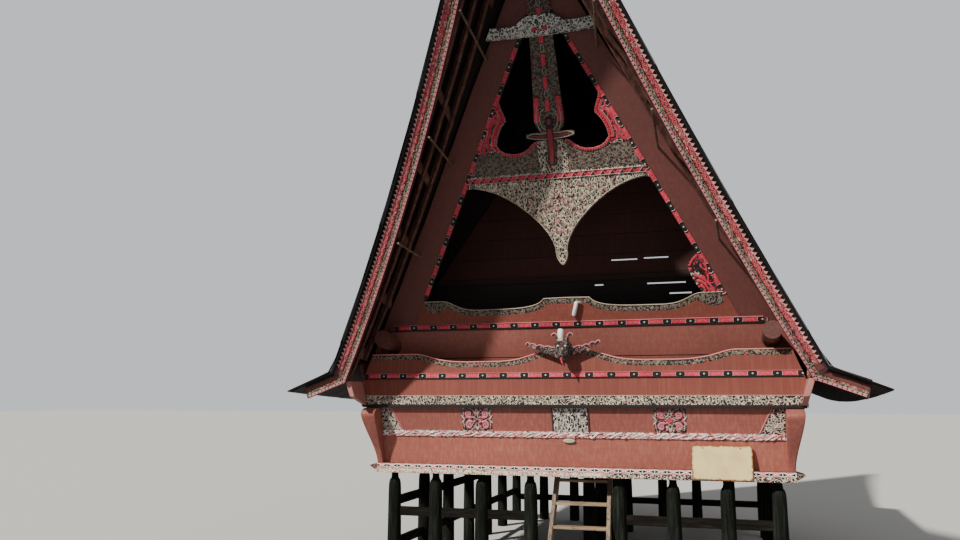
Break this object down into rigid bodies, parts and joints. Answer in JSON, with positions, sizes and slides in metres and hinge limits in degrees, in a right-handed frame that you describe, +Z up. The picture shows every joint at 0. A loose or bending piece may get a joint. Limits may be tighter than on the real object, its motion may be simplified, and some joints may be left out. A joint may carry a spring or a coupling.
{
  "type": "batak house",
  "caption": "Timber Toba Batak house on posts, entered by a ladder from below, with carved leaning gables under a saddle roof of corrugated sheets.",
  "frame": {"origin": "on the ground under the plan centre of the house", "axes": "+Z up, +Y along the ridge from the front gable to the rear one, +X to the right seen from the front"},
  "size_m": [8.0422, 15.7052, 9.7263],
  "materials": {
    "post_wood": "weathered dark hardwood",
    "dark_board": "dark red-brown boards",
    "red_board": "red-brown painted boards",
    "carved_grey": "carved and painted black, white and grey",
    "carved_red": "carved and painted red, black and cream",
    "pale_wood": "bare worn timber",
    "roof_sheet": "weathered dark red corrugated sheet",
    "parchment": "pale painted board, bare of words"
  },
  "bodies": {
    "root": {"posts_front_left": "post_wood", "posts_front_right": "post_wood", "posts_rear": "post_wood", "posts_left": "post_wood", "posts_right": "post_wood", "posts_middle": "post_wood", "sill_beam_front": "carved_grey", "sill_beam_rear": "carved_grey", "floor_beam_left": "dark_board", "floor_beam_right": "dark_board", "floor_beam_middle": "dark_board", "floor": "dark_board", "ladder": "pale_wood", "lower_plank_front": "red_board", "moulding_front": "carved_red", "panel_band_front": "red_board", "lower_wall_rear": "red_board", "ledge_front": "carved_grey", "ledge_rear": "carved_grey", "tier_board_front": "red_board", "tier_board_rear": "red_board", "upper_wall_front": "red_board", "upper_wall_rear": "red_board", "gable_wall_front": "red_board", "gable_wall_rear": "red_board", "sill_board_front": "red_board", "sill_board_rear": "red_board", "carved_panel_front": "carved_grey", "corner_carving_front": "carved_red", "finial_board_front": "carved_grey", "cross_board_front": "carved_grey", "inner_wall_front": "dark_board", "mask_head": "carved_red", "signboard": "parchment", "side_wall_left": "red_board", "side_wall_right": "red_board", "eave_log_left": "dark_board", "eave_log_right": "dark_board", "corner_plank_front_left": "red_board", "corner_plank_front_right": "red_board", "corner_plank_rear_left": "red_board", "corner_plank_rear_right": "red_board", "eave_bracket_front_left": "red_board", "eave_bracket_front_right": "red_board", "eave_bracket_rear_left": "red_board", "eave_bracket_rear_right": "red_board", "barge_boards_front": "carved_red", "barge_boards_rear": "carved_red", "overhang_frame_front": "dark_board", "overhang_frame_rear": "dark_board", "roof_left": "roof_sheet", "roof_right": "roof_sheet", "ridge_cap": "roof_sheet"}
  },
  "joints": []
}
